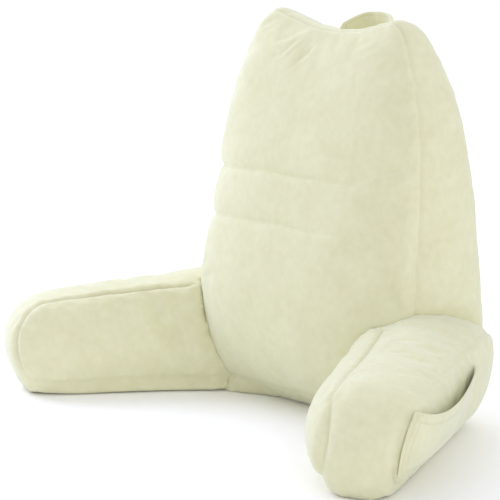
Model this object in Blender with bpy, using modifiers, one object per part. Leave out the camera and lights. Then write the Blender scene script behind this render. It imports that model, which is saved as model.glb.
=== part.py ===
"""A reading pillow with arms: a tall wedge cushion to lean on, a stuffed arm on each side with a patch
pocket on its outer wall, and a carrying strap behind the top. Metres, +Z up. The pillow faces -Y, it
stands on z = 0 and the origin is under the middle of its backrest."""

import math
from collections import namedtuple

import bmesh
import bpy
from mathutils import Matrix, Vector
from mathutils.bvhtree import BVHTree

# ---------------------------------------------------------------- driving sizes, in metres
HEIGHT = 0.584  # from the floor to the two top corners of the backrest
SEAM_GAP = 0.0004  # between two solids that are sewn together
BACK_HEM_HEIGHT = 0.029  # the backrest's lower seam runs this far above the floor
ARM_HEM_HEIGHT = 0.023  # and the arms' lower seams, and the cloth curves in to the floor below them

BACK_FOOT_Y = -0.085  # where the plane of the front seam meets the floor
BACK_LEAN = 0.110  # how far that plane falls back for each metre of height
REAR_CROWN = 0.018  # how far the rear panel swells
BACK_CHEEK = 0.013  # how far the front panel swells sideways past its own seam
BACK_STRIP_SWELL = 0.013  # how far the strip between the two panels swells
REAR_DROP = 0.017  # how much lower the top runs along the rear seam

ARM_SPLAY = math.radians(28.0)  # each arm points this far outwards
ARM_HEEL_Y = -0.045  # the arm's own axes start here, on the plane of symmetry
ARM_TIP_ROUND = 0.060  # how far the seam at the tip falls back at its top
ARM_OUTER_DROP = 0.008  # how much lower the top runs along the outer seam
ARM_LEAN = 0.20  # how far the arm's top stands outwards for each metre of height
ARM_CHEEK = 0.005  # how far the walls of an arm swell past their own seam

UNDERCUT = 1.6  # below a lower seam the strip would sag by this many seam heights, but for the floor

# how stuffed cloth bulges, as powers and shares without a unit
PANEL_SQUARENESS = 3.0  # how near its rim a panel starts to fall to its seam
CROWN_ROUNDNESS = 0.58  # and how steeply it falls there
CHEEK_PEAK = 4.2  # makes the sideways swell beside a seam reach about 1
CHEEK_SIDES = 7  # keeps that swell to the panel's four sides
STRIP_SIDES = 9  # how sharply the strip's swell turns at a corner
CROWDING = 0.3  # how much closer the grid lines lie near the rims
FOLD_FADE = 3.0  # the folds fade out this quickly towards the seams
FOLD_PINCH = 70.0  # share of the sideways swell that a fold takes away, for each metre of its depth
CHEEK_LIFT = 0.3  # share of the sideways swell that lifts the cloth at the top seam
TOP_PUFF = 0.5  # share of the strip's swell that stands up over the top
DROP_POWER = 4  # the drop to the rear seam is all near the top
TIP_FALL = 0.96  # how much of a quarter circle the seam at an arm's tip follows
FOOT_FADE = 4  # the spread of an arm's foot is lost near its tip

POCKET_CLOTH = 0.0026
POCKET_MOUTH_GAP = 0.015  # how far the mouth stands open in its middle

POCKET_MOUTH_WIDTH = 0.7  # a smaller power keeps the pocket open closer to its two side seams
POCKET_MOUTH_DEPTH = 0.8  # and closer to its lower seam
WALL_STEP = 0.02  # the distance on the grid over which the wall's slope is taken

STRAP_HALF_SPAN = 0.060
STRAP_CLOTH = 0.006
STRAP_SEWN = 0.84  # the strap leaves the rear panel at this share of its half span
STRAP_BOW = 0.036  # and stands this far off it in the middle
STRAP_ARCH = (2.4, 0.9)  # two powers that shape the bow: flat in its middle, steep at its ends

PLUSH = (0.80, 0.81, 0.62)  # pale yellow-green pile

# ---------------------------------------------------------------- short tables
Station = namedtuple("Station", "at value")
BACK_HALF_WIDTH = [  # by share of the height, from the lower seam to the upper one
    Station(0.00, 0.210),
    Station(0.06, 0.224),
    Station(0.20, 0.224),
    Station(0.45, 0.216),
    Station(0.65, 0.208),
    Station(0.82, 0.190),
    Station(0.93, 0.166),
    Station(1.00, 0.146),
]
BACK_TOP = [  # height of the upper seam, by share of the half width
    Station(0.00, 0.562),
    Station(0.35, 0.566),
    Station(0.70, 0.579),
    Station(0.88, HEIGHT),
    Station(1.00, 0.570),
]
BACK_CROWN = [  # how far the front panel swells, by share of the height
    Station(0.00, 0.056),
    Station(0.20, 0.074),
    Station(0.50, 0.058),
    Station(0.80, 0.044),
    Station(1.00, 0.032),
]
BACK_REAR_Y = [  # where the rear seam runs, by share of the height
    Station(0.00, 0.074),
    Station(0.20, 0.074),
    Station(0.50, 0.065),
    Station(0.80, 0.050),
    Station(1.00, 0.033),
]
BACK_ROWS = [  # share of the grid's rows against share of the height, closest round the two folds
    Station(0.00, 0.00),
    Station(0.08, 0.03),
    Station(0.26, 0.33),
    Station(0.66, 0.62),
    Station(0.92, 0.965),
    Station(1.00, 1.00),
]
BACK_FOOT_SPREAD = [  # how far the filling pushes the cloth forward below the lower seam, by half width
    Station(0.00, 0.000),
    Station(0.40, 0.006),
    Station(0.70, 0.045),
    Station(0.88, 0.046),
    Station(1.00, 0.018),
]
Fold = namedtuple("Fold", "height droop depth width left right")
BACK_FOLDS = [  # soft folds across the front panel, from x = left, where they droop and are deep, to x = right
    Fold(0.356, 0.014, 0.007, 0.010, -0.20, 0.17),
    Fold(0.283, 0.013, 0.006, 0.011, -0.20, 0.12),
]
ArmStation = namedtuple("ArmStation", "at inner outer top")
ARM_STATIONS = [  # along the arm: the seams on its inner and outer side, and the height of its top seams
    ArmStation(0.00, 0.080, 0.250, 0.142),
    ArmStation(0.06, 0.110, 0.261, 0.162),
    ArmStation(0.12, 0.134, 0.264, 0.167),
    ArmStation(0.18, 0.148, 0.263, 0.162),
    ArmStation(0.26, 0.154, 0.265, 0.157),
    ArmStation(0.36, 0.158, 0.267, 0.150),
    ArmStation(0.42, 0.162, 0.265, 0.145),
    ArmStation(0.46, 0.166, 0.261, 0.132),
]
Arm = namedtuple(
    "Arm",
    "name pocket side tip toe_round inner_crown outer_crown strip_swell foot_spread lower heel_lift heel_drop",
)
ARMS = [  # side is 1 at +X; the two are stuffed unevenly, one rounder, and both are lower to the tip
    Arm("arm_right", "pocket_right", 1, 0.450, 0.028, 0.055, 0.019, 0.014, 0.014, 0.008, 0.012, 0.018),
    Arm("arm_left", "pocket_left", -1, 0.430, 0.034, 0.020, 0.026, 0.009, 0.028, 0.014, 0.000, 0.000),
]
ARM_HEEL_REACH = 0.28  # the lift and the drop at an arm's heel are lost this far along it
Grid = namedtuple("Grid", "columns rows cuts")
BACK_GRID = Grid(22, 40, 3)  # the faces across and up a panel, and the cuts in the strip between two
ARM_GRID = Grid(24, 10, 5)
STRAP_GRID = Grid(24, 3, 0)
POCKET_COLUMNS = (0.40, 0.96)  # the patch covers the grid between these shares of its columns
POCKET_ROWS = (0.20, 0.90)  # and between these shares of its rows
POCKET_TIP_REACH = 1.03  # and is stretched by this much towards the tip, where its side meets the seam
POCKET_MOUTH = [  # how much of that height the mouth leaves, from the heel's side to the tip's: it sags
    Station(0.00, 0.80),
    Station(0.45, 0.72),
    Station(0.75, 0.78),
    Station(1.00, 0.95),
]
StrapStation = namedtuple("StrapStation", "at low high")
STRAP_EDGES = [  # the strap's lower and upper edge, by share of its half span
    StrapStation(0.00, 0.543, 0.582),
    StrapStation(0.50, 0.541, 0.578),
    StrapStation(0.80, 0.533, 0.566),
    StrapStation(1.00, 0.520, 0.550),
]


# ---------------------------------------------------------------- shared functions
def read(rows, at, value="value"):
    """The value at a place along a table, on a smooth curve through its rows."""
    places = [row.at for row in rows]
    values = [getattr(row, value) for row in rows]
    at = min(max(at, places[0]), places[-1])
    i = max(k for k in range(len(rows) - 1) if places[k] <= at)
    slopes = [(values[k + 1] - values[k]) / (places[k + 1] - places[k]) for k in range(len(rows) - 1)]
    before = slopes[i] if i == 0 else 0.5 * (slopes[i - 1] + slopes[i])
    after = slopes[i] if i == len(slopes) - 1 else 0.5 * (slopes[i] + slopes[i + 1])
    span = places[i + 1] - places[i]
    t = (at - places[i]) / span
    return (
        values[i] * (2 * t ** 3 - 3 * t ** 2 + 1)
        + before * span * (t ** 3 - 2 * t ** 2 + t)
        + values[i + 1] * (3 * t ** 2 - 2 * t ** 3)
        + after * span * (t ** 3 - t ** 2)
    )


def fullness(i, j):
    """How far from its rim a point of a panel is, from 0 at the seam to 1 in the middle."""
    return max((1 - abs(i) ** PANEL_SQUARENESS) * (1 - abs(j) ** PANEL_SQUARENESS), 0.0)


def crown(i, j):
    return fullness(i, j) ** CROWN_ROUNDNESS


def cheek(i, j):
    """How far the panel swells sideways beside its seam, as a pair for its two directions."""
    full = fullness(i, j)
    amount = CHEEK_PEAK * full ** 0.5 * (1 - full) ** 3
    return Vector((i ** CHEEK_SIDES, j ** CHEEK_SIDES)) * amount


def strip_swell(share):
    return math.sin(math.pi * share) ** 0.5


def strip_normal(i, j):
    return Vector((i ** STRIP_SIDES, j ** STRIP_SIDES)).normalized()


def crowd(i):
    """Moves evenly spaced grid lines closer together near a panel's rims."""
    return i * (1 + CROWDING - CROWDING * i * i)


def add_grid(shape, columns, rows, depth=0.0):
    """A flat grid from -1 to 1 both ways."""
    level = Matrix.Translation((0.0, 0.0, depth))
    bmesh.ops.create_grid(shape, x_segments=columns, y_segments=rows, size=1.0, matrix=level)


def grid_block(grid, place):
    """A closed mesh of two grids, one behind the other, whose rims are joined by a strip. Every point of
    it is then put where the rule says, from its two places on the grid and its depth, 0 to 1."""
    shape = bmesh.new()
    for depth in (0.0, 1.0):
        add_grid(shape, grid.columns, grid.rows, depth)
    rims = [edge for edge in shape.edges if edge.is_boundary]
    bmesh.ops.bridge_loops(shape, edges=rims)
    across = [edge for edge in shape.edges if edge.verts[0].co.z != edge.verts[1].co.z]
    bmesh.ops.subdivide_edges(shape, edges=across, cuts=grid.cuts)
    for vertex in shape.verts:
        vertex.co = place(*vertex.co)
        vertex.co.z = max(vertex.co.z, 0.0)
    shape.normal_update()
    bmesh.ops.recalc_face_normals(shape, faces=shape.faces)
    bmesh.ops.triangulate(shape, faces=shape.faces)
    shape.normal_update()
    return shape


def add_item(name, shape, collection):
    mesh = bpy.data.meshes.new(name)
    shape.to_mesh(mesh)
    shape.free()
    mesh.shade_smooth()
    item = bpy.data.objects.new(name, mesh)
    collection.objects.link(item)
    return item


def plush_material():
    material = bpy.data.materials.new("plush")
    material.use_nodes = True
    shader = material.node_tree.nodes["Principled BSDF"]
    shader.inputs["Base Color"].default_value = (*PLUSH, 1.0)
    shader.inputs["Roughness"].default_value = 0.9
    return material


# ---------------------------------------------------------------- the backrest
def fold_depth(x, z):
    """How deep the front panel is drawn in at a point by its folds."""
    total = 0.0
    for fold in BACK_FOLDS:
        along = (x - fold.left) / (fold.right - fold.left)
        fade = max(1 - max(along, 0.0) ** 2, 0.0)
        middle = fold.height - fold.droop * max(x / fold.left, 0.0) ** 2
        total += fold.depth * fade * math.exp(-((z - middle) / fold.width) ** 2)
    return total


def backrest_point(a, b, depth):
    i, j = crowd(a), 2 * read(BACK_ROWS, (b + 1) / 2) - 1
    depth = 0.5 + 0.5 * crowd(2 * depth - 1)
    share = (j + 1) / 2
    top = read(BACK_TOP, abs(i))
    height = BACK_HEM_HEIGHT + share * (top - BACK_HEM_HEIGHT)
    side = i * read(BACK_HALF_WIDTH, share)
    front = BACK_FOOT_Y + BACK_LEAN * height
    rear = read(BACK_REAR_Y, share)
    drop = REAR_DROP * share ** DROP_POWER
    if depth == 0.0:
        folded = fold_depth(side, height)
        swell = cheek(i, j) * BACK_CHEEK * (1 - FOLD_PINCH * folded)
        out = read(BACK_CROWN, share) * crown(i, j) - folded * min(1.0, FOLD_FADE * fullness(i, j))
        return Vector((side + swell.x, front - out, height + CHEEK_LIFT * swell.y))
    if depth == 1.0:
        return Vector((side, rear + REAR_CROWN * crown(i, j), height - drop))
    normal = strip_normal(i, j)
    puff = strip_swell(depth) * BACK_STRIP_SWELL
    lift = TOP_PUFF * puff * normal.y
    if normal.y < 0:
        lift = UNDERCUT * BACK_HEM_HEIGHT * strip_swell(depth) * normal.y
    y = front + depth * (rear - front)
    if normal.y < 0:
        y += read(BACK_FOOT_SPREAD, abs(i)) * strip_swell(min(2 * depth, 1)) * normal.y * (1 - depth)
    return Vector((side + puff * normal.x, y, height + lift - drop * depth))


# ---------------------------------------------------------------- the arms
def arm_world(side, along, out, height):
    """From an arm's own axes to the pillow's."""
    x = along * math.sin(ARM_SPLAY) + out * math.cos(ARM_SPLAY)
    y = ARM_HEEL_Y - along * math.cos(ARM_SPLAY) + out * math.sin(ARM_SPLAY)
    return Vector((side * x, y, height))


def arm_local(arm, a, b, depth):
    """A point of an arm on its own axes: along it, outwards, and up."""
    i, j = crowd(a), crowd(b)
    depth = 0.5 + 0.5 * crowd(2 * depth - 1)
    share = (j + 1) / 2
    tip_round = ARM_TIP_ROUND if j > 0 else arm.toe_round
    tip = arm.tip - tip_round * (1 - math.sqrt(1 - TIP_FALL * j * j))
    along = (i + 1) / 2 * tip
    inner, outer, top = (read(ARM_STATIONS, along, key) for key in ("inner", "outer", "top"))
    top -= arm.lower * (along / arm.tip) ** 2
    near_heel = max(1 - along / ARM_HEEL_REACH, 0.0)
    top += arm.heel_lift * near_heel
    top -= (ARM_OUTER_DROP + arm.heel_drop * near_heel) * depth
    height = ARM_HEM_HEIGHT + share * (top - ARM_HEM_HEIGHT)
    lean = ARM_LEAN * (height - 0.5 * top)
    swell = Vector((0.0, 0.0))
    if depth in (0.0, 1.0):
        swell = cheek(i, j) * ARM_CHEEK
        swelled = arm.outer_crown if depth else -arm.inner_crown
        out = (outer if depth else inner) + swelled * crown(i, j)
    else:
        normal = strip_normal(i, j)
        swell = normal * strip_swell(depth) * arm.strip_swell
        if normal.y < 0:
            swell.y = UNDERCUT * ARM_HEM_HEIGHT * strip_swell(depth) * normal.y
            spread = arm.foot_spread * (1 - (along / arm.tip) ** FOOT_FADE)
            inner += spread * strip_swell(min(2 * depth, 1)) * normal.y
        out = inner + depth * (outer - inner)
    return Vector((along + swell.x, out + lean, height + swell.y))


def arm_rule(arm):
    return lambda a, b, depth: arm_world(arm.side, *arm_local(arm, a, b, depth))


# ---------------------------------------------------------------- the pockets
def pocket_sheet(arm):
    """A patch on the arm's outer wall: the wall's own grid, pushed off it, a little at the three sewn
    edges and further at the mouth."""
    shape = bmesh.new()
    add_grid(shape, ARM_GRID.columns, ARM_GRID.rows)
    spare = []
    for face in shape.faces:
        middle = face.calc_center_median()
        share_x, share_y = (middle.x + 1) / 2, (middle.y + 1) / 2
        inside_x = POCKET_COLUMNS[0] < share_x < POCKET_COLUMNS[1]
        inside_y = POCKET_ROWS[0] < share_y < POCKET_ROWS[1]
        if not (inside_x and inside_y):
            spare.append(face)
    bmesh.ops.delete(shape, geom=spare, context="FACES")
    low_x, high_x = (pick(vertex.co.x for vertex in shape.verts) for pick in (min, max))
    low_y, high_y = (pick(vertex.co.y for vertex in shape.verts) for pick in (min, max))
    rule = arm_rule(arm)
    placed = []
    for vertex in shape.verts:
        a, b = vertex.co.x, vertex.co.y
        across = (a - low_x) / (high_x - low_x)
        rise = (b - low_y) / (high_y - low_y)
        a = low_x + (a - low_x) * POCKET_TIP_REACH
        b = low_y + (b - low_y) * read(POCKET_MOUTH, across)
        step_a = rule(a + WALL_STEP, b, 1.0) - rule(a - WALL_STEP, b, 1.0)
        step_b = rule(a, b + WALL_STEP, 1.0) - rule(a, b - WALL_STEP, 1.0)
        normal = step_b.cross(step_a).normalized() * arm.side
        opened = math.sin(math.pi * across) ** POCKET_MOUTH_WIDTH * rise ** POCKET_MOUTH_DEPTH
        stand = SEAM_GAP + POCKET_MOUTH_GAP * opened
        placed.append((vertex, rule(a, b, 1.0) + normal * stand))
    for vertex, place in placed:
        vertex.co = place
    shape.normal_update()
    outwards = Vector((arm.side * math.cos(ARM_SPLAY), math.sin(ARM_SPLAY), 0.0))
    if sum((face.normal for face in shape.faces), Vector()).dot(outwards) < 0:
        bmesh.ops.reverse_faces(shape, faces=shape.faces)
    return shape


# ---------------------------------------------------------------- the strap
def strap_sheet(rear_wall):
    """A band that stands on its edge behind the top and bows backwards, sewn on at its two ends."""
    shape = bmesh.new()
    add_grid(shape, STRAP_GRID.columns, STRAP_GRID.rows)
    arch, flare = STRAP_ARCH
    for vertex in shape.verts:
        share = abs(vertex.co.x)
        bow = STRAP_BOW * (1 - min(share / STRAP_SEWN, 1.0) ** arch) ** flare
        low, high = read(STRAP_EDGES, share, "low"), read(STRAP_EDGES, share, "high")
        x = vertex.co.x * STRAP_HALF_SPAN
        height = low + (vertex.co.y + 1) / 2 * (high - low)
        wall = rear_wall.ray_cast(Vector((x, HEIGHT, low)), Vector((0.0, -1.0, 0.0)))[0]
        vertex.co = (x, wall.y + SEAM_GAP + 0.5 * STRAP_CLOTH + bow, height)
    return shape


# ---------------------------------------------------------------- build
for old in list(bpy.data.objects):
    bpy.data.objects.remove(old, do_unlink=True)
parts = bpy.data.collections.new("reading_pillow")
cutters = bpy.data.collections.new("cutters")
bpy.context.scene.collection.children.link(parts)
bpy.context.scene.collection.children.link(cutters)
plush = plush_material()

add_item("backrest", grid_block(BACK_GRID, backrest_point), parts)
seat = grid_block(BACK_GRID, backrest_point)
for vertex in seat.verts:
    vertex.co += vertex.normal * SEAM_GAP
rear_wall = BVHTree.FromBMesh(seat)
cutter = add_item("backrest_seat", seat, cutters)
cutter.hide_render = True
cutter.display_type = "WIRE"
for arm in ARMS:
    wing = add_item(arm.name, grid_block(ARM_GRID, arm_rule(arm)), parts)
    trim = wing.modifiers.new("sewn to the backrest", "BOOLEAN")
    trim.operation = "DIFFERENCE"
    trim.solver = "EXACT"
    trim.object = cutter
    pocket = add_item(arm.pocket, pocket_sheet(arm), parts)
    cloth = pocket.modifiers.new("cloth", "SOLIDIFY")
    cloth.thickness = POCKET_CLOTH
    cloth.offset = 1.0
handle = add_item("handle", strap_sheet(rear_wall), parts)
band = handle.modifiers.new("padding", "SOLIDIFY")
band.thickness = STRAP_CLOTH
band.offset = 0.0
for item in parts.objects:
    item.data.materials.append(plush)
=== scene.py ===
# %% [markdown]
# # A reading pillow with arms, dressed
#
# The pillow is a tall stuffed wedge with two stuffed arms, sewn from short pale plush. Its solids are already
# there at their real size. This lesson dresses them: it makes the filled covers swell between their seams,
# sews the seams in, lays the soft folds and wrinkles, and finishes the cloth. Everything is in metres, with Z
# up, and the pillow faces -Y.

# %% The frame that everything is built on
import math
from collections import namedtuple

import bmesh
import bpy
import numpy as np
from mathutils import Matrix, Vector, kdtree, noise
from mathutils.bvhtree import BVHTree


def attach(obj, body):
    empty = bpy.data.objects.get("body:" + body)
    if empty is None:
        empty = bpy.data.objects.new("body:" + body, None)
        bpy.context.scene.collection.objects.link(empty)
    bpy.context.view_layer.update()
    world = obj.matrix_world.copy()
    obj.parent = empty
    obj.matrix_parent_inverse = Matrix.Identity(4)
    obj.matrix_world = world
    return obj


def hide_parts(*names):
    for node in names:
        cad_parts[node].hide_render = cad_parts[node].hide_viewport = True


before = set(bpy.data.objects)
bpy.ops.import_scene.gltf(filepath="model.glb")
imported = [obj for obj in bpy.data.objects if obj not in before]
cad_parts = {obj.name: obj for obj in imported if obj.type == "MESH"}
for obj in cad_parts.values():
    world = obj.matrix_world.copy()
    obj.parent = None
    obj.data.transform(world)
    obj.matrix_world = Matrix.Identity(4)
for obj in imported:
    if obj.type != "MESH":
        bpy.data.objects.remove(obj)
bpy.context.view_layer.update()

print("solids to dress:", sorted(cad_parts))

# %% [markdown]
# ## The camera
#
# A long lens from a few metres away keeps the two arms nearly in parallel, as in a catalogue picture. The
# camera could be placed by eye, but here it is turned round a point near the pillow's middle by two angles,
# which makes it easy to walk round the object later.

# %% Camera
VIEW_TURN = math.radians(48.8)  # how far round the pillow the camera stands, from straight in front
VIEW_RISE = math.radians(11.08)  # and how far it looks down
VIEW_DISTANCE = 3.856
VIEW_CENTRE = Vector((-0.155, -0.045, 0.215))
LENS_MM = 182.4  # on a sensor 36 mm wide

towards_camera = Vector((
    math.sin(VIEW_TURN) * math.cos(VIEW_RISE),
    -math.cos(VIEW_TURN) * math.cos(VIEW_RISE),
    math.sin(VIEW_RISE),
))

camera_data = bpy.data.cameras.new("camera")
camera_data.lens = LENS_MM
camera = bpy.data.objects.new("camera", camera_data)
camera.location = VIEW_CENTRE + towards_camera * VIEW_DISTANCE
camera.rotation_euler = towards_camera.to_track_quat("Z", "Y").to_euler()
bpy.context.scene.collection.objects.link(camera)
bpy.context.scene.camera = camera
print("camera at", [round(value, 3) for value in camera.location])

# %% [markdown]
# ## Floor and light
#
# Pale cloth looks soft when nearly all its light is soft. Large lamps close by would light the white paper
# unevenly, so very wide suns stand in for softboxes that are far off: one beyond the pillow's left end, which
# only grazes the front panel, one overhead and one beyond the right. One lamp nearer the left end makes that
# end the brightest, and a bright even sky does the rest. The lamps' light is a little cool, which keeps the
# lit cloth from looking yellow. The paper glows very slightly, as paper lit from below does.

# %% Floor and sky
FLOOR_SIZE = 60.0
FLOOR_DROP = 0.0004  # just under the cloth, so that the two surfaces don't coincide
PAPER_COLOUR = (0.98, 0.98, 0.98, 1.0)
PAPER_ROUGHNESS = 0.9
PAPER_SHINE = 0.1
PAPER_GLOW = 0.04
WHITE = (1.0, 1.0, 1.0, 1.0)
SKY_STRENGTH = 0.59

bpy.ops.mesh.primitive_plane_add(size=FLOOR_SIZE, location=(0.0, 0.0, -FLOOR_DROP))
floor = bpy.context.object
floor.name = "floor"
floor_material = bpy.data.materials.new("floor_paper")
floor_material.use_nodes = True
paper = floor_material.node_tree.nodes["Principled BSDF"]
paper.inputs["Base Color"].default_value = PAPER_COLOUR
paper.inputs["Roughness"].default_value = PAPER_ROUGHNESS
paper.inputs["Specular IOR Level"].default_value = PAPER_SHINE
paper.inputs["Emission Color"].default_value = WHITE
paper.inputs["Emission Strength"].default_value = PAPER_GLOW
floor.data.materials.append(floor_material)

sky = bpy.data.worlds.new("sky")
sky.use_nodes = True
sky.node_tree.nodes["Background"].inputs["Color"].default_value = WHITE
sky.node_tree.nodes["Background"].inputs["Strength"].default_value = SKY_STRENGTH
bpy.context.scene.world = sky
bpy.context.scene.view_settings.view_transform = "Standard"
print("floor", FLOOR_SIZE, "m across, sky of strength", SKY_STRENGTH)

# %% Lamps
COOL_LIGHT = (0.96, 1.0, 1.30)
Sun = namedtuple("Sun", "name towards spread strength colour")
SUNS = [
    Sun("key", Vector((-0.85, 0.22, 0.60)), math.radians(80), 1.08, (1.0, 1.0, 1.05)),
    Sun("overhead", Vector((0.05, 0.0, 1.0)), math.radians(110), 0.42, COOL_LIGHT),
    Sun("from_the_right", Vector((0.95, 0.10, 0.25)), math.radians(90), 0.78, (1.0, 1.0, 1.10)),
]
SUN_PLACE = Vector((0.0, 0.0, 2.0))  # only a sun's direction counts
LEFT_LAMP_PLACE = Vector((-1.9, -0.55, 1.35))
LEFT_LAMP_SIZE = 1.2
LEFT_LAMP_WATTS = 14.0


def hang_lamp(name, kind, place, facing, energy, colour):
    """A lamp of the given kind that shines back along the facing direction."""
    lamp_data = bpy.data.lights.new(name, kind)
    lamp_data.energy = energy
    lamp_data.color = colour
    lamp = bpy.data.objects.new(name, lamp_data)
    lamp.location = place
    lamp.rotation_euler = facing.to_track_quat("Z", "Y").to_euler()
    bpy.context.scene.collection.objects.link(lamp)
    return lamp_data


for sun in SUNS:
    hang_lamp(sun.name, "SUN", SUN_PLACE, sun.towards, sun.strength, sun.colour).angle = sun.spread
left_lamp_facing = LEFT_LAMP_PLACE - VIEW_CENTRE
left_lamp = hang_lamp("left_lamp", "AREA", LEFT_LAMP_PLACE, left_lamp_facing, LEFT_LAMP_WATTS, COOL_LIGHT)
left_lamp.size = LEFT_LAMP_SIZE
print("lamps:", [sun.name for sun in SUNS], left_lamp.name)

# %% [markdown]
# ## The plush
#
# Short plush has three things to show: pile that leans one way or another, so that light and dark patches lie
# side by side; a fine fuzz that catches light at the edges; and the shade deep in a seam where two panels
# are sewn. The patches and the pile's small relief come from one node group, and the fuzz is the shader's own
# sheen. The shade in the seams is painted: another group darkens the colour by a measure that every piece
# carries, how close each point is to a seam, from 0 away from it to 1 on its line.

# %% Helpers for node groups
def new_group(name, inputs, outputs):
    """An empty shader node group with named sockets, and its two end nodes."""
    group = bpy.data.node_groups.new(name, "ShaderNodeTree")
    for label, kind, value in inputs:
        socket = group.interface.new_socket(label, in_out="INPUT", socket_type=kind)
        if value is not None:
            socket.default_value = value
    for label, kind in outputs:
        group.interface.new_socket(label, in_out="OUTPUT", socket_type=kind)
    return group, group.nodes.new("NodeGroupInput"), group.nodes.new("NodeGroupOutput")


def wire(tree, *pairs):
    for source, target in pairs:
        tree.links.new(source, target)


print("node helpers:", new_group.__name__, wire.__name__)

# %% A node group for short pile
Grain = namedtuple("Grain", "scale detail stretch")
PATCHES = Grain(95.0, 3.0, (1.0, 1.0, 0.85))  # pile brushed this way and that
CLOUDS = Grain(24.0, 2.0, (1.0, 1.0, 1.0))
FIBRES = Grain(900.0, 2.0, (1.0, 1.0, 1.0))
TUFTS = Grain(260.0, 2.0, (1.0, 1.0, 0.7))
CLOUDS_IN_TONE = 0.5
FIBRES_IN_TUFTS = 0.4
PATCHES_IN_HEIGHT = 0.35


def noise_node(tree, grain, place):
    """A noise pattern on a place in metres, stretched along the three axes."""
    mapping = tree.nodes.new("ShaderNodeMapping")
    mapping.inputs["Scale"].default_value = grain.stretch
    pattern = tree.nodes.new("ShaderNodeTexNoise")
    pattern.inputs["Scale"].default_value = grain.scale
    pattern.inputs["Detail"].default_value = grain.detail
    wire(tree, (place, mapping.inputs["Vector"]), (mapping.outputs["Vector"], pattern.inputs["Vector"]))
    return pattern.outputs["Fac"]


def blend_values(tree, first, second, share):
    mixer = tree.nodes.new("ShaderNodeMix")
    mixer.inputs["Factor"].default_value = share
    wire(tree, (first, mixer.inputs["A"]), (second, mixer.inputs["B"]))
    return mixer.outputs["Result"]


def short_pile_group():
    group, start, end = new_group(
        "short_pile",
        [("Place", "NodeSocketVector", None)],
        [("Tone", "NodeSocketFloat"), ("Height", "NodeSocketFloat")],
    )
    place = start.outputs["Place"]
    patches, clouds, fibres, tufts = (
        noise_node(group, grain, place) for grain in (PATCHES, CLOUDS, FIBRES, TUFTS)
    )
    tone = blend_values(group, patches, clouds, CLOUDS_IN_TONE)
    fuzz = blend_values(group, tufts, fibres, FIBRES_IN_TUFTS)
    height = blend_values(group, fuzz, patches, PATCHES_IN_HEIGHT)
    wire(group, (tone, end.inputs["Tone"]), (height, end.inputs["Height"]))
    return group


short_pile = short_pile_group()
print("node group:", short_pile.name)

# %% A node group for the painted shade in the seams
SEAM_MEASURE = "seam_closeness"  # the name of the measure that each piece carries


# Painted shade: a mask that darkens the cloth's colour near a seam, where little light reaches.
def seam_shade_group():
    group, start, end = new_group(
        "painted_seam_shade",
        [("Closeness", "NodeSocketFloat", 0.0), ("Darkness", "NodeSocketFloat", 0.8)],
        [("Mask", "NodeSocketFloat")],
    )
    fall = group.nodes.new("ShaderNodeMapRange")
    fall.interpolation_type = "SMOOTHSTEP"
    wire(
        group,
        (start.outputs["Closeness"], fall.inputs["Value"]),
        (start.outputs["Darkness"], fall.inputs["To Max"]),
        (fall.outputs["Result"], end.inputs["Mask"]),
    )
    return group


painted_seam_shade = seam_shade_group()
print("node group:", painted_seam_shade.name)

# %% The cloth's colours and finish
PILE_LIT = (0.815, 0.800, 0.556, 1.0)  # pile that leans towards the light
PILE_SHADED = (0.758, 0.738, 0.486, 1.0)  # and away from it
# Painted shade: the colour that the cloth is darkened to deep in a seam.
SEAM_SHADE_COLOUR = (0.60, 0.57, 0.38, 1.0)  # deep in a seam, where light only comes from other cloth
PILE_LEANS_FROM, PILE_LEANS_TO = 0.34, 0.66  # the tones between which the pile turns over
PILE_ROUGHNESS = 0.92
PILE_SHINE = 0.12
FUZZ = 0.45
FUZZ_ROUGHNESS = 0.50
FUZZ_COLOUR = (0.85, 0.95, 1.0, 1.0)
PILE_DEPTH = 0.0011
PILE_RELIEF = 0.5
print("pile from", PILE_SHADED[:3], "to", PILE_LIT[:3])

# %% The cloth's material
# A Mix node has a set of sockets for each kind of value. These are its colours and the colour it gives.
MIX_FIRST, MIX_SECOND, MIX_RESULT = 6, 7, 2


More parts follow.
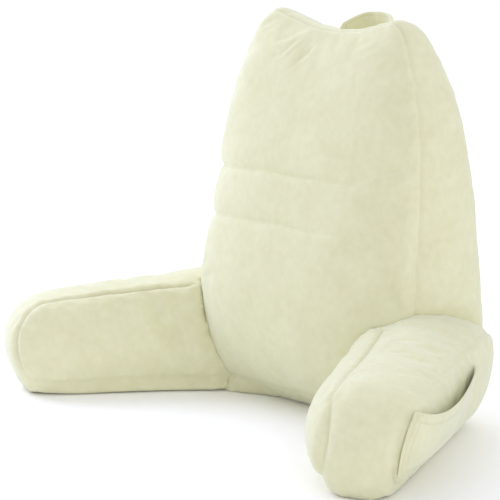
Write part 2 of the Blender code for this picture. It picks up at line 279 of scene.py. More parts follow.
def plush_material(name, seam_shade_share):
    """Short plush, with painted shade along its seams, darkened by the given share."""
    material = bpy.data.materials.new(name)
    material.use_nodes = True
    tree = material.node_tree
    shader = tree.nodes["Principled BSDF"]
    shader.inputs["Roughness"].default_value = PILE_ROUGHNESS
    shader.inputs["Specular IOR Level"].default_value = PILE_SHINE
    shader.inputs["Sheen Weight"].default_value = FUZZ
    shader.inputs["Sheen Roughness"].default_value = FUZZ_ROUGHNESS
    shader.inputs["Sheen Tint"].default_value = FUZZ_COLOUR
    place = tree.nodes.new("ShaderNodeTexCoord").outputs["Object"]
    pile = tree.nodes.new("ShaderNodeGroup")
    pile.node_tree = short_pile
    measure = tree.nodes.new("ShaderNodeAttribute")
    measure.attribute_name = SEAM_MEASURE
    line = tree.nodes.new("ShaderNodeGroup")
    line.node_tree = painted_seam_shade
    line.inputs["Darkness"].default_value = seam_shade_share
    lean = tree.nodes.new("ShaderNodeValToRGB")
    shaded, lit = lean.color_ramp.elements
    shaded.position, shaded.color = PILE_LEANS_FROM, PILE_SHADED
    lit.position, lit.color = PILE_LEANS_TO, PILE_LIT
    # Mixes the painted seam shade into the cloth's colour.
    paint_seam_shade = tree.nodes.new("ShaderNodeMix")
    paint_seam_shade.data_type = "RGBA"
    bump = tree.nodes.new("ShaderNodeBump")
    bump.inputs["Strength"].default_value = PILE_RELIEF
    bump.inputs["Distance"].default_value = PILE_DEPTH
    wire(
        tree,
        (place, pile.inputs["Place"]),
        (measure.outputs["Fac"], line.inputs["Closeness"]),
        (pile.outputs["Tone"], lean.inputs["Fac"]),
        (lean.outputs["Color"], paint_seam_shade.inputs[MIX_FIRST]),
        (line.outputs["Mask"], paint_seam_shade.inputs["Factor"]),
        (pile.outputs["Height"], bump.inputs["Height"]),
        (bump.outputs["Normal"], shader.inputs["Normal"]),
        (paint_seam_shade.outputs[MIX_RESULT], shader.inputs["Base Color"]),
    )
    paint_seam_shade.inputs[MIX_SECOND].default_value = SEAM_SHADE_COLOUR
    return material


# How strong the painted shade in the seams is, on the covers and on the trim.
cover_plush = plush_material("cover_plush", seam_shade_share=0.75)
trim_plush = plush_material("trim_plush", seam_shade_share=0.60)
print("materials:", cover_plush.name, trim_plush.name)

# %% [markdown]
# ## Where the seams run
#
# Each stuffed piece is two panels and a strip between their edges, so it has two seams. A seam could be
# picked by hand on the mesh, but remeshing wipes such a choice out. Here each seam is a line in space,
# worked out from the pattern's own sizes: how wide, how tall and how deep the piece is at each height. The
# cloth is then drawn in wherever it comes close to the line.

# %% The pattern of the backrest
Station = namedtuple("Station", "at value")  # at is a share of the height, or of the half width for the top
BACK_HEM = 0.029  # how high the seam runs along the floor
BACK_FOOT_Y = -0.085
BACK_LEAN = 0.110  # how far the front panel leans back for each metre up
REAR_DROP = 0.017  # how much lower the rear panel's top is
BACK_HALF_WIDTH = [
    Station(0.00, 0.210), Station(0.06, 0.224), Station(0.20, 0.224), Station(0.45, 0.216),
    Station(0.65, 0.208), Station(0.82, 0.190), Station(0.93, 0.166), Station(1.00, 0.146),
]
BACK_TOP = [
    Station(0.00, 0.562), Station(0.35, 0.566), Station(0.70, 0.579), Station(0.88, 0.584),
    Station(1.00, 0.570),
]
BACK_REAR_Y = [
    Station(0.00, 0.074), Station(0.20, 0.074), Station(0.50, 0.065), Station(0.80, 0.050),
    Station(1.00, 0.033),
]
print("half the backrest's width at its widest:", max(station.value for station in BACK_HALF_WIDTH))

# %% The pattern of the arms
ARM_HEM = 0.023
ARM_SPLAY = math.radians(28.0)
ARM_HEEL_Y = -0.045
ARM_TIP_ROUND = 0.060
ARM_OUTER_DROP = 0.008  # how much lower the outer wall's top is
ARM_LEAN = 0.20  # how far a wall leans outwards for each metre up
TIP_FALL = 0.96  # how much of a full round the tip makes
ARM_HEEL_REACH = 0.28  # how far from the heel its own shape fades out
# at is how far along the arm, inner and outer are how far its walls lie to the side, and top is its height.
ArmStation = namedtuple("ArmStation", "at inner outer top")
ARM_STATIONS = [
    ArmStation(0.00, 0.080, 0.250, 0.142), ArmStation(0.06, 0.110, 0.261, 0.162),
    ArmStation(0.12, 0.134, 0.264, 0.167), ArmStation(0.18, 0.148, 0.263, 0.162),
    ArmStation(0.26, 0.154, 0.265, 0.157), ArmStation(0.36, 0.158, 0.267, 0.150),
    ArmStation(0.42, 0.162, 0.265, 0.145), ArmStation(0.46, 0.166, 0.261, 0.132),
]
# For each arm: the side it is on, how long it is, how round its toe is, how much lower its tip lies, how far
# its heel is lifted and its outer edge dropped there, how far the inner wall's seam rolls over the top edge,
# or hangs below it where less than 0, at the heel and at the tip, and how deep that seam is sewn.
Arm = namedtuple("Arm", "name pocket side tip toe_round lower heel_lift heel_drop roll_heel roll_tip depth")
ARMS = [
    Arm("arm_right", "pocket_right", 1, 0.450, 0.028, 0.008, 0.012, 0.018, -0.011, -0.009, 0.46),
    Arm("arm_left", "pocket_left", -1, 0.430, 0.034, 0.014, 0.000, 0.000, -0.008, 0.011, 0.62),
]
print("lengths of the arms:", {arm.name: arm.tip for arm in ARMS})

# %% Reading a table of the pattern
def read(rows, at, value="value"):
    """The value at a place along a table, on a smooth curve through its rows."""
    places = [row.at for row in rows]
    values = [getattr(row, value) for row in rows]
    at = min(max(at, places[0]), places[-1])
    i = max(k for k in range(len(rows) - 1) if places[k] <= at)
    slopes = [(values[k + 1] - values[k]) / (places[k + 1] - places[k]) for k in range(len(rows) - 1)]
    before = slopes[i] if i == 0 else 0.5 * (slopes[i - 1] + slopes[i])
    after = slopes[i] if i == len(slopes) - 1 else 0.5 * (slopes[i] + slopes[i + 1])
    span = places[i + 1] - places[i]
    t = (at - places[i]) / span
    return (
        values[i] * (2 * t ** 3 - 3 * t ** 2 + 1)
        + before * span * (t ** 3 - 2 * t ** 2 + t)
        + values[i + 1] * (3 * t ** 2 - 2 * t ** 3)
        + after * span * (t ** 3 - t ** 2)
    )


print("half the backrest's width, halfway up:", round(read(BACK_HALF_WIDTH, 0.5), 4))

# %% A smooth step, and places round a rim
def soft_step(value, low, high):
    """0 below the low value, 1 above the high one, and a smooth rise between them."""
    share = min(max((value - low) / (high - low), 0.0), 1.0)
    return share * share * (3 - 2 * share)


def round_the_rim(steps):
    """Places round the rim of a panel, each from -1 to 1 across it and up it."""
    spread = np.linspace(-1, 1, steps)
    sides = [(1, 0), (0, 1), (-1, 0), (0, -1)]
    for across, up in sides:
        for t in spread[:-1]:
            yield (across, t * across) if across else (-t * up, up)


print("a rim in coarse steps:", [tuple(float(value) for value in place) for place in round_the_rim(3)])

# %% The seams as lines in space
BACK_SEAM_STEPS = 500  # along each of the four sides of a panel
ARM_SEAM_STEPS = 400


def back_seam(depth):
    """The seam round the front panel, at depth 0, or round the rear one, at depth 1."""
    line = []
    for i, j in round_the_rim(BACK_SEAM_STEPS):
        share = (j + 1) / 2
        height = BACK_HEM + share * (read(BACK_TOP, abs(i)) - BACK_HEM)
        front = BACK_FOOT_Y + BACK_LEAN * height
        y = front + depth * (read(BACK_REAR_Y, share) - front)
        x = i * read(BACK_HALF_WIDTH, share)
        line.append(Vector((x, y, height - REAR_DROP * share ** 4 * depth)))
    return line


def arm_seam(arm, depth):
    """The seam round an arm's inner wall, at depth 0, or round its outer one, at depth 1."""
    line = []
    for i, j in round_the_rim(ARM_SEAM_STEPS):
        share = (j + 1) / 2
        tip_round = ARM_TIP_ROUND if j > 0 else arm.toe_round
        tip = arm.tip - tip_round * (1 - math.sqrt(1 - TIP_FALL * j * j))
        along = (i + 1) / 2 * tip
        inner, outer, top = (read(ARM_STATIONS, along, key) for key in ("inner", "outer", "top"))
        near_heel = max(1 - along / ARM_HEEL_REACH, 0.0)
        top += arm.heel_lift * near_heel - arm.lower * (along / arm.tip) ** 2
        top -= (ARM_OUTER_DROP + arm.heel_drop * near_heel) * depth
        height = ARM_HEM + share * (top - ARM_HEM)
        out = inner + depth * (outer - inner) + ARM_LEAN * (height - 0.5 * top)
        roll = arm.roll_heel + (arm.roll_tip - arm.roll_heel) * along / arm.tip
        roll *= (1 - depth) * soft_step(j, 0.0, 1.0)
        height += roll
        out += roll
        x = along * math.sin(ARM_SPLAY) + out * math.cos(ARM_SPLAY)
        y = ARM_HEEL_Y - along * math.cos(ARM_SPLAY) + out * math.sin(ARM_SPLAY)
        line.append(Vector((arm.side * x, y, height)))
    return line


print("points on the front panel's seam:", len(back_seam(0)))

# %% Looking up the nearest place
def tree_of(*names):
    """The surfaces of some solids or finished covers, for finding the nearest point on them."""
    shape = bmesh.new()
    for name in names:
        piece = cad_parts.get(name) or bpy.data.objects[name]
        shape.from_mesh(piece.data)
    found = BVHTree.FromBMesh(shape)
    shape.free()
    return found


def tree_from(points):
    """A fast look-up of the nearest of some points."""
    tree = kdtree.KDTree(len(points))
    for index, point in enumerate(points):
        tree.insert(point, index)
    tree.balance()
    return tree


back_solid = tree_of("backrest")
between_arms = Vector((0.0, -0.30, 0.20))
print("from between the arms to the backrest: %.3f m" % back_solid.find_nearest(between_arms)[3])

# %% How deep each seam is sewn
# A strength of 1 would be a full groove. Each pair is a start and an end of a slow change, in metres.
FRONT_SEAM, FRONT_SEAM_MORE, FRONT_TOP = 0.36, 0.16, (0.52, 0.57)
REAR_SEAM, REAR_SEAM_MORE, REAR_TOP = 0.42, 0.10, (0.50, 0.56)
INNER_HEEL_MORE, INNER_HEEL = 0.22, (-0.30, -0.20)
INNER_SEAM_LOW, INNER_LOW = 0.26, (0.03, 0.06)
OUTER_SEAM, OUTER_TIP_MORE, OUTER_LOW, OUTER_TIP = 0.20, 0.40, (0.030, 0.060), (0.235, 0.275)
LOST_NEAR_BACKREST = (0.004, 0.024)


def clear_of_backrest(point):
    return soft_step(back_solid.find_nearest(point)[3], *LOST_NEAR_BACKREST)


def front_strength(point):
    """The long side seams are pulled smooth by the filling; the seam over the top shows more."""
    return FRONT_SEAM + FRONT_SEAM_MORE * soft_step(point.z, *FRONT_TOP)


def rear_strength(point):
    return REAR_SEAM + REAR_SEAM_MORE * soft_step(point.z, *REAR_TOP)


def inner_strength(arm):
    """Deeper near the heel, nearly smooth along the floor, and lost where the arm meets the backrest."""

    def strength(point):
        top = arm.depth + INNER_HEEL_MORE * soft_step(point.y, *INNER_HEEL)
        strength_there = INNER_SEAM_LOW + (top - INNER_SEAM_LOW) * soft_step(point.z, *INNER_LOW)
        return strength_there * clear_of_backrest(point)

    return strength


def outer_strength(point):
    """An arm's outer seam is nearly lost along its top, and shows again low on the tip."""
    low = 1 - soft_step(point.z, *OUTER_LOW)
    strength_there = OUTER_SEAM + OUTER_TIP_MORE * low * soft_step(-point.y, *OUTER_TIP)
    return strength_there * clear_of_backrest(point)


print("the front panel's seam over the top:", round(front_strength(Vector((0.0, 0.0, FRONT_TOP[1]))), 2))

# %% A map of the seams
SeamMap = namedtuple("SeamMap", "tree travelled strength")
SEAM_WANDER = 0.0026  # a sewn line wanders by about this much
WANDER_PITCH = 0.032
NEXT_SEAM = 10.0  # keeps the unevenness of two seams from looking alike


def map_seams(node, *lines):
    """A fast look-up of the nearest seam point, how far along its seam it is, and how deep it is sewn."""
    solid = tree_of(node)
    points, travelled, strengths = [], [], []
    for number, (line, strength) in enumerate(lines):
        distance = NEXT_SEAM * number
        for before, point in zip(line[-1:] + line[:-1], line):
            distance += (point - before).length
            wander = noise.noise_vector(Vector((distance / WANDER_PITCH, number, 0.5)))
            points.append(solid.find_nearest(point + SEAM_WANDER * wander)[0])
            travelled.append(distance)
            strengths.append(strength(point))
    return SeamMap(tree_from(points), travelled, strengths)


seams = {"backrest": map_seams("backrest", (back_seam(0), front_strength), (back_seam(1), rear_strength))}
for arm in ARMS:
    arm_lines = (arm_seam(arm, 0), inner_strength(arm)), (arm_seam(arm, 1), outer_strength)
    seams[arm.name] = map_seams(arm.name, *arm_lines)
print("seams mapped:", {name: len(found.travelled) for name, found in seams.items()})

# %% [markdown]
# ## Filling the covers
#
# A stuffed cover is a flat pattern that filling pushes out, held back at its seams. One way is to sculpt the
# swelling by hand. Here the solid is copied, given an even skin of small faces, and blown up a little by a
# cloth simulation with its seams pinned and its cloth slightly too large, so that it buckles where real cloth
# would. How far it may move is limited, so that it stays the size of the solid.

# %% A copy of a solid with an even skin
SKIN_STEPS = {"backrest": 0.0072, "arm_left": 0.0056, "arm_right": 0.0056}
touched_by = {
    "backrest": ("arm_left", "arm_right", "handle"),
    "arm_left": ("backrest", "pocket_left"),
    "arm_right": ("backrest", "pocket_right"),
}
# An arm keeps clear of the finished backrest in another way, so only its pocket counts here.
crowded_by = {**touched_by, "arm_left": ("pocket_left",), "arm_right": ("pocket_right",)}


def only_this(item):
    bpy.ops.object.select_all(action="DESELECT")
    item.select_set(True)
    bpy.context.view_layer.objects.active = item


def copy_of_solid(node, name):
    """A new object from a solid's mesh, with the points that its loose triangles share joined."""
    copy = bpy.data.objects.new(name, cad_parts[node].data.copy())
    bpy.context.scene.collection.objects.link(copy)
    copy.data.materials.clear()
    only_this(copy)
    bpy.ops.object.mode_set(mode="EDIT")
    bpy.ops.mesh.select_all(action="SELECT")
    bpy.ops.mesh.remove_doubles(threshold=0.00001)
    bpy.ops.mesh.tris_convert_to_quads()
    bpy.ops.object.mode_set(mode="OBJECT")
    return copy


def apply_modifier(item, kind, **settings):
    only_this(item)
    modifier = item.modifiers.new(kind.lower(), kind)
    for key, value in settings.items():
        setattr(modifier, key, value)
    bpy.ops.object.modifier_apply(modifier=modifier.name)


def points_of(item):
    return np.array([vertex.co for vertex in item.data.vertices])


def normals_of(item):
    return np.array([vertex.normal for vertex in item.data.vertices])


def set_points(item, points):
    item.data.vertices.foreach_set("co", np.asarray(points, np.float32).ravel())
    item.data.update()


print("size of the skin's faces in metres:", SKIN_STEPS)

# %% What the filling doesn't move
PINNED_NEAR_SEAM = 0.005
PINNED_NEAR_NEIGHBOUR = 0.006
PINNED_NEAR_FLOOR = 0.002


def pins(item, seam_map, others):
    """The points that the filling doesn't move: at a seam, on the floor and against another piece."""
    held = []
    for vertex in item.data.vertices:
        at_seam = seam_map.tree.find(vertex.co)[2] < PINNED_NEAR_SEAM
        at_other = others.find_nearest(vertex.co)[3] < PINNED_NEAR_NEIGHBOUR
        if at_seam or at_other or vertex.co.z < PINNED_NEAR_FLOOR:
            held.append(vertex.index)
    return held


print("held within", PINNED_NEAR_SEAM, "m of a seam and", PINNED_NEAR_NEIGHBOUR, "m of another piece")

# %% The filling
FILL_PRESSURE = 4.0
FILL_FRAMES = 20
SPARE_CLOTH = 0.012  # the cover is cut this share too large for its filling
MOST_SWELL = 0.006


def fill(item, held):
    """Blows a cover up between its held points, by MOST_SWELL at most."""
    start = points_of(item)
    group = item.vertex_groups.new(name="held")
    group.add(held, 1.0, "REPLACE")
    cloth = item.modifiers.new("filling", "CLOTH")
    settings = cloth.settings
    settings.quality = 4
    settings.mass = 0.3
    settings.tension_stiffness = 15
    settings.compression_stiffness = 15
    settings.shear_stiffness = 5
    settings.bending_stiffness = 2.0
    settings.use_pressure = True
    settings.uniform_pressure_force = FILL_PRESSURE
    settings.vertex_group_mass = "held"
    settings.shrink_min = -SPARE_CLOTH
    settings.effector_weights.gravity = 0.0
    cloth.collision_settings.use_collision = False
    cloth.point_cache.frame_end = FILL_FRAMES
    for step in range(1, FILL_FRAMES + 1):
        bpy.context.scene.frame_set(step)
    only_this(item)
    bpy.ops.object.modifier_apply(modifier=cloth.name)
    bpy.context.scene.frame_set(1)
    item.vertex_groups.clear()
    move = points_of(item) - start
    size = np.linalg.norm(move, axis=1)
    kept = MOST_SWELL * np.tanh(size / MOST_SWELL) / np.maximum(size, 1e-9)
    set_points(item, start + move * kept[:, None])
    print(item.name, "swelled by up to %.1f mm" % (1000 * (size * kept).max()))


print("filling: pressure", FILL_PRESSURE, "for", FILL_FRAMES, "frames")

# %% [markdown]
# ## Closing and refining
#
# Two pieces that are sewn together meet without a gap, but an even skin rounds off the rim where they meet.
# The rim could be moved by hand. Here every point near the next piece is drawn up to it, the nearest ones
# most, so that the cloth behind is stretched evenly. A sewn groove is narrower than the faces of the skin, so
# the faces round it are divided once more, and only those, which keeps the mesh light.

# %% Closing a cover against the piece that it is sewn to
CLOSING_REACH = 0.016
RIM_SLACK = 0.0040  # what the even skin leaves open along the rim
LAST_SLACK = 0.0016
CLOSED_GAP = 0.0003
RIM_SMOOTHING = 5


def draw_up(item, next_piece, slack):
    """Closes a gap of this slack to the next piece. The cloth behind it is stretched evenly to follow."""
    stretch = (CLOSING_REACH - CLOSED_GAP) / (CLOSING_REACH - slack)
    points = points_of(item)
    for number, point in enumerate(points):
        point = Vector(point)
        surface, normal, _, distance = next_piece.find_nearest(point)
        if distance > CLOSING_REACH:
            continue
        outside = (point - surface).dot(normal) > 0
        wanted = CLOSED_GAP + max(distance - slack, 0.0) * stretch if outside else CLOSED_GAP
        away = (point - surface) / distance if outside and distance > CLOSED_GAP else normal
        points[number] = surface + away * wanted
    set_points(item, points)


def close_against(item, name):
    """The even skin rounds off a rim. This draws the rim up against the next piece, as its seam does, and
    smooths it there so that the line between the two pieces runs evenly."""
    next_piece = tree_of(name)
    draw_up(item, next_piece, RIM_SLACK)
    rim = item.vertex_groups.new(name="rim")
    for vertex in item.data.vertices:
        distance = next_piece.find_nearest(vertex.co)[3]
        rim.add([vertex.index], soft_step(CLOSING_REACH - distance, 0.0, CLOSING_REACH), "REPLACE")
    apply_modifier(item, "SMOOTH", factor=0.5, iterations=RIM_SMOOTHING, vertex_group="rim")
    item.vertex_groups.clear()
    draw_up(item, next_piece, LAST_SLACK)


print("gap left between an arm and the backrest: %.1f mm" % (1000 * CLOSED_GAP))

# %% Smaller faces where the sewing goes
FINE_REACH = 0.0065


def refine(item, near_detail):
    """Divides the faces close to a seam or a crease once more, so that a narrow groove is drawn cleanly."""
    only_this(item)
    bpy.ops.object.mode_set(mode="EDIT")
    bpy.ops.mesh.select_mode(type="FACE")
    bpy.ops.mesh.select_all(action="DESELECT")
    shape = bmesh.from_edit_mesh(item.data)
    for face in shape.faces:
        face.select_set(near_detail(face.calc_center_median()))
    bmesh.update_edit_mesh(item.data)
    bpy.ops.mesh.subdivide(number_cuts=1)
    bpy.ops.object.mode_set(mode="OBJECT")


print("faces within %.1f mm of a seam or crease are divided once more" % (1000 * FINE_REACH))

# %% [markdown]
# ## Sewing, puckering and settling
#
# After filling, the skin is made finer and the details go in as small moves along the surface's own
# direction: a groove at each seam, short puckers that run away from it, and a slow unevenness from clumps of
# filling. Last, no point may stand too far out of the solid, or reach into a neighbouring piece.

# %% Seams, puckers and lumps
SEAM_DEPTH = 0.0052
SEAM_WIDTH = 0.0042
# How wide the painted shade along a seam is.
SEAM_SHADE_WIDTH = 0.0030
PUCKER_HEIGHT = 0.0018
PUCKER_GAIN = 2.2  # noise seldom comes near 1, so the puckers are raised by this
PUCKER_REACH = 0.017
PUCKER_PITCH = 0.013
PUCKER_GROUP = 5  # puckers come in groups of about this many
PUCKER_LEAST, PUCKER_RANGE = 0.6, 0.8  # between the groups, and how much more inside them
LUMP_HEIGHT = 0.0016
LUMP_SIZE = 0.075


def store_closeness(item, values):
    measure = item.data.attributes.new(SEAM_MEASURE, "FLOAT", "POINT")
    measure.data.foreach_set("value", np.asarray(values, np.float32))


def sew(item, seam_map, seed):
    """Moves each point along its normal, and stores how close to a seam it is, for the painted shade in the
    seam.
    """
    mesh = item.data
    moves = np.zeros(len(mesh.vertices))
    closeness = np.zeros(len(mesh.vertices))
    for vertex in mesh.vertices:
        index, distance = seam_map.tree.find(vertex.co)[1:]
        strength = seam_map.strength[index]
        drawn_in = math.exp(-((distance / SEAM_WIDTH) ** 2))
        # Painted shade: how dark the seam's colour is made at this point.
        closeness[vertex.index] = strength * math.exp(-((distance / SEAM_SHADE_WIDTH) ** 2))
        move = LUMP_HEIGHT * noise.noise(vertex.co / LUMP_SIZE + Vector((seed, 0.0, 0.0)))
        if distance < 5 * PUCKER_REACH:
            along = seam_map.travelled[index] / PUCKER_PITCH
            wave = noise.noise(Vector((along, seed, distance / (4 * PUCKER_REACH))))
            group = noise.noise(Vector((along / PUCKER_GROUP, seed, 7.0)))
            wave *= PUCKER_LEAST + PUCKER_RANGE * group
            reach = math.exp(-distance / PUCKER_REACH) * (1 - drawn_in)
            move += PUCKER_GAIN * PUCKER_HEIGHT * strength * wave * reach
            move -= SEAM_DEPTH * strength * drawn_in
        moves[vertex.index] = move
    set_points(item, points_of(item) + normals_of(item) * moves[:, None])
    store_closeness(item, closeness)


print("a seam is up to %.1f mm deep" % (1000 * SEAM_DEPTH))

# %% Settling
MOST_PROUD = 0.009
CLEAR_SHARE = 0.42  # a piece may swell into this share of the gap to its neighbour


def settle(item, node):
    """Keeps the cover near its own solid, clear of the next piece and above the floor."""
    own, others = tree_of(node), tree_of(*crowded_by[node])
    points = points_of(item)
    for number, point in enumerate(points):
        point = Vector(point)
        surface, normal = own.find_nearest(point)[:2]
        proud = (point - surface).dot(normal)
        if proud > 0:
            room = min(MOST_PROUD, CLEAR_SHARE * others.find_nearest(point)[3])
            point -= normal * max(proud - room, 0.0)
        points[number] = (point.x, point.y, max(point.z, 0.0))
    set_points(item, points)


print("a cover stands out by %.1f mm at most" % (1000 * MOST_PROUD))

# %% [markdown]
# ## The creases and wrinkles
#
# The front panel is drawn in by two soft folds, which the solid already has. Along the bottom of each runs a
# sharper crease, with a lip of cloth under it and a brow over it that catch the light. Between the two top
# corners the cloth is drawn into fine slanting wrinkles. Each wrinkle is a trough along a short bent line,
# with a lip beside it. It is listed in the panel's own width and height, because such wrinkles follow
# no rule.

# %% Where the creases run
Crease = namedtuple("Crease", "height droop left right depth width")
FRONT_CREASES = [
    Crease(0.356, 0.014, -0.235, 0.190, 0.0031, 0.0038),
    Crease(0.283, 0.013, -0.235, 0.150, 0.0027, 0.0040),
]
DROOP_FROM = -0.20  # a crease hangs down by its droop this far to the left
FRONT_WAY = np.array((-0.35, -0.94, 0.0))
FRONT_TURN = 0.35  # the share of facing that counts as fully in front
FRONT_EDGE, FRONT_FADE = -0.010, 0.035


def crease_height(crease, x):
    return crease.height - crease.droop * np.maximum(x / DROOP_FROM, 0.0) ** 2


def front_weight(points, normals):
    """1 on the front panel, fading out round its left cheek."""
    turned = np.clip((normals @ FRONT_WAY) / FRONT_TURN, 0, 1)
    return turned * np.clip((FRONT_EDGE - points[:, 1]) / FRONT_FADE, 0, 1)


print("creases at heights", [crease.height for crease in FRONT_CREASES])

# %% Pressing the creases in
CREASE_WOBBLE, CREASE_WOBBLE_LENGTH = 0.0012, 0.021
CREASE_FADE_LEFT, CREASE_FADE_RIGHT = 0.05, 0.40  # shares of its length
Lip = namedtuple("Lip", "height place width")  # as shares of the depth and the width of what it lies beside
CREASE_LIP = Lip(0.42, -2.2, 1.5)
CREASE_BROW = Lip(0.30, 2.4, 1.8)


def ridge(across, place, width):
    """1 at a place across a line, and falling off smoothly on both sides."""
    return np.exp(-(((across - place) / width) ** 2))


def raised(lip, across, width):
    return lip.height * ridge(across, lip.place * width, lip.width * width)


def press_creases(item):
    points, normals = points_of(item), normals_of(item)
    moves = np.zeros(len(points))
    for crease in FRONT_CREASES:
        across = points[:, 2] - crease_height(crease, points[:, 0])
        wobble = np.sin(points[:, 0] / CREASE_WOBBLE_LENGTH + 40 * crease.height)
        across = across + CREASE_WOBBLE * wobble
        along = (points[:, 0] - crease.left) / (crease.right - crease.left)
        ends = np.clip(along / CREASE_FADE_LEFT, 0, 1) * np.clip((1 - along) / CREASE_FADE_RIGHT, 0, 1)
        ends = ends * (0.8 + 0.2 * np.cos(9 * along))  # a little deeper and shallower along its length
        hollow = ridge(across, 0.0, crease.width)
        lip = raised(CREASE_LIP, across, crease.width)
        brow = raised(CREASE_BROW, across, crease.width)
        moves += crease.depth * (lip + brow - hollow) * ends
    weight = front_weight(points, normals)
    set_points(item, points + normals * (moves * weight)[:, None])


print("a crease is up to %.1f mm deep" % (1000 * max(crease.depth for crease in FRONT_CREASES)))

# %% Where the wrinkles lie
# u is how far sideways each end lies, and z is how high. A wrinkle sags to one side by its sag.
Trough = namedtuple("Trough", "u0 z0 u1 z1 sag depth width")
FRONT_TROUGHS = [
    Trough(-0.103, 0.538, -0.042, 0.563, -0.004, 0.0016, 0.0030),
    Trough(-0.082, 0.513, -0.034, 0.556, 0.003, 0.0019, 0.0030),
    Trough(-0.062, 0.516, -0.030, 0.548, 0.002, 0.0010, 0.0026),
    Trough(-0.047, 0.504, -0.004, 0.541, 0.003, 0.0018, 0.0028),
    Trough(-0.030, 0.516, -0.008, 0.550, 0.001, 0.0010, 0.0026),
    Trough(-0.096, 0.508, -0.072, 0.528, 0.001, 0.0008, 0.0032),
    Trough(-0.142, 0.557, -0.108, 0.570, 0.001, 0.0016, 0.0026),
    Trough(-0.136, 0.545, -0.104, 0.560, 0.001, 0.0012, 0.0028),
    Trough(0.066, 0.540, 0.122, 0.562, 0.002, 0.0012, 0.0034),
    Trough(0.084, 0.529, 0.142, 0.560, 0.003, 0.0009, 0.0034),
    Trough(0.110, 0.352, 0.200, 0.388, 0.002, 0.0012, 0.0042),
    Trough(0.120, 0.284, 0.212, 0.293, 0.002, 0.0011, 0.0044),
    Trough(-0.150, 0.226, -0.030, 0.219, 0.004, 0.0009, 0.0090),
    Trough(0.020, 0.168, 0.150, 0.146, 0.004, 0.0012, 0.0100),
    Trough(-0.060, 0.420, 0.070, 0.428, 0.003, 0.0007, 0.0100),
]
print("wrinkles on the front panel:", len(FRONT_TROUGHS))

# %% Pressing wrinkles in
TROUGH_LIP = Lip(0.40, -2.0, 1.4)


def press_troughs(item, troughs, place, weigh):
    """Presses troughs into a cover. The place function gives how far sideways each point lies, and the
    weigh function how strongly the troughs show there."""
    points, normals = points_of(item), normals_of(item)
    u, z = place(points), points[:, 2]
    moves = np.zeros(len(points))
    for trough in troughs:
        run = np.array((trough.u1 - trough.u0, trough.z1 - trough.z0))
        length = np.linalg.norm(run)
        run = run / length
        along = ((u - trough.u0) * run[0] + (z - trough.z0) * run[1]) / length
        across = -(u - trough.u0) * run[1] + (z - trough.z0) * run[0]
        across = across - trough.sag * np.sin(np.pi * np.clip(along, 0, 1))
        inside = np.clip(along, 0, 1)
        ends = np.sin(np.pi * inside ** 0.8) ** 1.2  # deepest a little before the middle
        hollow = ridge(across, 0.0, trough.width)
        lip = raised(TROUGH_LIP, across, trough.width)
        moves += trough.depth * (lip - hollow) * ends
    set_points(item, points + normals * (moves * weigh(points, normals))[:, None])


print("a wrinkle's lip is", TROUGH_LIP.height, "of its depth")

# %% [markdown]
# ## The backrest
#
# This is the large wedge: the front panel, the strip that runs up its sides and over its top, and the rear
# panel, all one stuffed cover. It is filled first, then sewn, creased and settled.

# %% Dressing a stuffed piece
def start_cover(node):
    """A cover with an even skin, filled and made finer."""
    cover = copy_of_solid(node, node + "_cover")
    apply_modifier(cover, "REMESH", mode="VOXEL", voxel_size=SKIN_STEPS[node], adaptivity=0.0)
    apply_modifier(cover, "SMOOTH", factor=0.5, iterations=2)
    held = pins(cover, seams[node], tree_of(*touched_by[node]))
    fill(cover, held)
    apply_modifier(cover, "SUBSURF", levels=1, render_levels=1)
    return cover


def finish_cover(cover, node):
    settle(cover, node)
    cover.data.materials.append(cover_plush)
    cover.data.shade_smooth()
    print(cover.name, len(cover.data.polygons), "faces")


def near_seam(node):
    return lambda point: seams[node].tree.find(point)[2] < FINE_REACH


def near_crease(point):
    if point.y >= 0.0:
        return False
    return any(abs(point.z - crease_height(crease, point.x)) < FINE_REACH for crease in FRONT_CREASES)


print("covers to dress:", list(SKIN_STEPS))

# %% Backrest
BACK_SEED = 1.7  # where its unevenness starts in the noise
backrest = start_cover("backrest")
refine(backrest, lambda point: near_seam("backrest")(point) or near_crease(point))
sew(backrest, seams["backrest"], BACK_SEED)
press_creases(backrest)
press_troughs(backrest, FRONT_TROUGHS, lambda points: points[:, 0], front_weight)
finish_cover(backrest, "backrest")
print("dressed:", backrest.name)

# %% [markdown]
# ## The arms
#
# Each arm is a smaller stuffed cover of the same make, sewn against the side of the backrest. The left arm's
# inner wall has a slack place near the backrest, which shows as a wide slanting hollow beside a ridge. A
# trough whose depth is less than 0 makes such a ridge. The right arm's inner wall has two small wrinkles.

# %% Arms
ARM_SEED = 4.1
INWARD_FROM, INWARD_FADE = 0.25, 0.30  # how squarely the cloth must face inwards to take a trough
ARM_TROUGHS = {
    "arm_left": [
        Trough(0.264, 0.160, 0.192, 0.046, 0.002, -0.0030, 0.0090),
        Trough(0.236, 0.160, 0.164, 0.046, 0.002, 0.0046, 0.0100),
        Trough(0.345, 0.110, 0.375, 0.060, 0.002, 0.0010, 0.0080),
    ],
    "arm_right": [
        Trough(0.165, 0.136, 0.250, 0.122, 0.005, 0.0020, 0.0045),
        Trough(0.185, 0.118, 0.262, 0.102, 0.004, 0.0014, 0.0050),
    ],
}


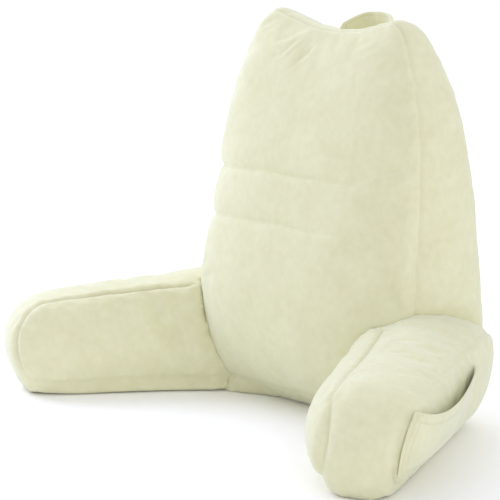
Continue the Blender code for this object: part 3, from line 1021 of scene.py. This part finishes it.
def dress_arm(arm):
    """An arm's cover, filled, closed against the backrest's, sewn and settled."""
    forward = np.array((arm.side * math.sin(ARM_SPLAY), -math.cos(ARM_SPLAY), 0.0))
    inward = np.array((-arm.side * math.cos(ARM_SPLAY), -math.sin(ARM_SPLAY), 0.0))
    heel = np.array((0.0, ARM_HEEL_Y, 0.0))
    cover = start_cover(arm.name)
    close_against(cover, "backrest_cover")
    refine(cover, near_seam(arm.name))
    sew(cover, seams[arm.name], ARM_SEED * arm.side)
    press_troughs(
        cover,
        ARM_TROUGHS[arm.name],
        lambda points: (points - heel) @ forward,
        lambda points, normals: np.clip((normals @ inward - INWARD_FROM) / INWARD_FADE, 0, 1),
    )
    finish_cover(cover, arm.name)
    draw_up(cover, tree_of("backrest_cover"), LAST_SLACK)
    return cover


arm_covers = {arm.name: dress_arm(arm) for arm in ARMS}
print("dressed:", [cover.name for cover in arm_covers.values()])

# %% [markdown]
# ## Pockets and strap
#
# The pockets are single patches of the same plush, sewn on three sides with their mouth standing a little
# open, and the strap is a padded band. They are thin, so filling would only spoil them: their solids are
# copied, made finer, and their edges rounded.

# %% A thin piece and its rim
RIM_ANGLE = math.radians(50)
RIM_STEPS = 8
FINER_STEPS = 2


def thin_piece(node, name):
    """A copy of a thin solid, divided plainly once so that it keeps its shape, and then smoothly."""
    piece = copy_of_solid(node, name)
    apply_modifier(piece, "SUBSURF", subdivision_type="SIMPLE", levels=1, render_levels=1)
    apply_modifier(piece, "SUBSURF", levels=FINER_STEPS, render_levels=FINER_STEPS)
    piece.data.materials.append(trim_plush)
    piece.data.shade_smooth()
    return piece


def rim_of(node, wanted):
    """A look-up of points along the folded rim of a thin solid, where a test wants them."""
    shape = bmesh.new()
    shape.from_mesh(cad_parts[node].data)
    bmesh.ops.remove_doubles(shape, verts=shape.verts, dist=0.00001)
    shape.normal_update()
    points = []
    for edge in shape.edges:
        if edge.calc_face_angle(0.0) > RIM_ANGLE:
            first, second = (vertex.co.copy() for vertex in edge.verts)
            points += [first.lerp(second, step / RIM_STEPS) for step in range(RIM_STEPS + 1)]
    shape.free()
    return tree_from([point for point in points if wanted(point)])


print("edges sharper than %d degrees are rims" % round(math.degrees(RIM_ANGLE)))

# %% Pockets
SEWN_GAP = 0.0042  # a rim closer to the arm than this is sewn, and further off it is the open mouth
HEM_WIDTH = 0.013
STITCH_INSET = 0.006
STITCH_WIDTH = 0.0014
STITCH_DEPTH = 0.0007
SEWN_DEPTH, SEWN_WIDTH = 0.0016, 0.005  # how the sewn rim is pressed into the arm
HEM_HEIGHT, HEM_EDGE = 0.0006, 0.003  # a hem is two layers, so it stands up a little
# Painted shade: how dark the colour is made along each stitched line.
MOUTH_STITCH_SHADE, SEWN_STITCH_SHADE = 0.55, 0.45  # how plainly each line of thread shows


def near(distance, place, width):
    return math.exp(-(((distance - place) / width) ** 2))


def dress_pocket(arm):
    """A patch with its sewn rim pressed in, a hem along its mouth and a stitched line along both, pressed in
    and darkened with painted shade.
    """
    patch = thin_piece(arm.pocket, arm.pocket + "_patch")
    wall = tree_of(arm.name)
    sewn = rim_of(arm.pocket, lambda point: wall.find_nearest(point)[3] < SEWN_GAP)
    mouth = rim_of(arm.pocket, lambda point: wall.find_nearest(point)[3] >= SEWN_GAP)
    closeness = np.zeros(len(patch.data.vertices))
    points = points_of(patch)
    for vertex in patch.data.vertices:
        outwards = wall.find_nearest(vertex.co)[1]
        to_sewn = sewn.find(vertex.co)[2]
        to_mouth = mouth.find(vertex.co)[2]
        outer = max(vertex.normal.dot(outwards), 0.0)
        pressed = SEWN_DEPTH * near(to_sewn, 0.0, SEWN_WIDTH) * outer
        sewn_thread = near(to_sewn, STITCH_INSET, STITCH_WIDTH)
        mouth_thread = near(to_mouth, HEM_WIDTH, STITCH_WIDTH)
        stitched = STITCH_DEPTH * (sewn_thread + mouth_thread)
        hem = HEM_HEIGHT * soft_step(HEM_WIDTH - to_mouth, 0.0, HEM_EDGE) * outer
        points[vertex.index] += np.array(vertex.normal) * (hem - stitched) - np.array(outwards) * pressed
        # The closeness paints shade along the stitched lines.
        closeness[vertex.index] = MOUTH_STITCH_SHADE * mouth_thread
        closeness[vertex.index] += SEWN_STITCH_SHADE * sewn_thread
    set_points(patch, points)
    store_closeness(patch, closeness)
    print(patch.name, len(patch.data.polygons), "faces")
    return patch


pockets = {arm.pocket: dress_pocket(arm) for arm in ARMS}
print("dressed:", [patch.name for patch in pockets.values()])

# %% Strap
STRAP_STITCH_INSET = 0.005
STRAP_STITCH_DEPTH = 0.0009
# Painted shade: how dark the colour is made along the stitched lines.
STRAP_STITCH_SHADE = 0.5


def dress_strap():
    """A padded band with a stitched line along each of its edges, pressed in and darkened with painted shade.
    """
    band = thin_piece("handle", "carrying_strap")
    rim = rim_of("handle", lambda point: True)
    to_rim = [rim.find(vertex.co)[2] for vertex in band.data.vertices]
    closeness = np.array([near(distance, STRAP_STITCH_INSET, STITCH_WIDTH) for distance in to_rim])
    set_points(band, points_of(band) - normals_of(band) * (STRAP_STITCH_DEPTH * closeness)[:, None])
    store_closeness(band, STRAP_STITCH_SHADE * closeness)
    print(band.name, len(band.data.polygons), "faces")
    return band


strap = dress_strap()
print("dressed:", strap.name)

# %% [markdown]
# ## Attaching the pieces
#
# Every piece moves with the one body, and the solid that it was copied from is hidden.

for node, cover in {"backrest": backrest, **arm_covers}.items():
    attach(cover, "root")
    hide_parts(node)
for node, piece in {**pockets, "handle": strap}.items():
    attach(piece, "root")
    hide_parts(node)
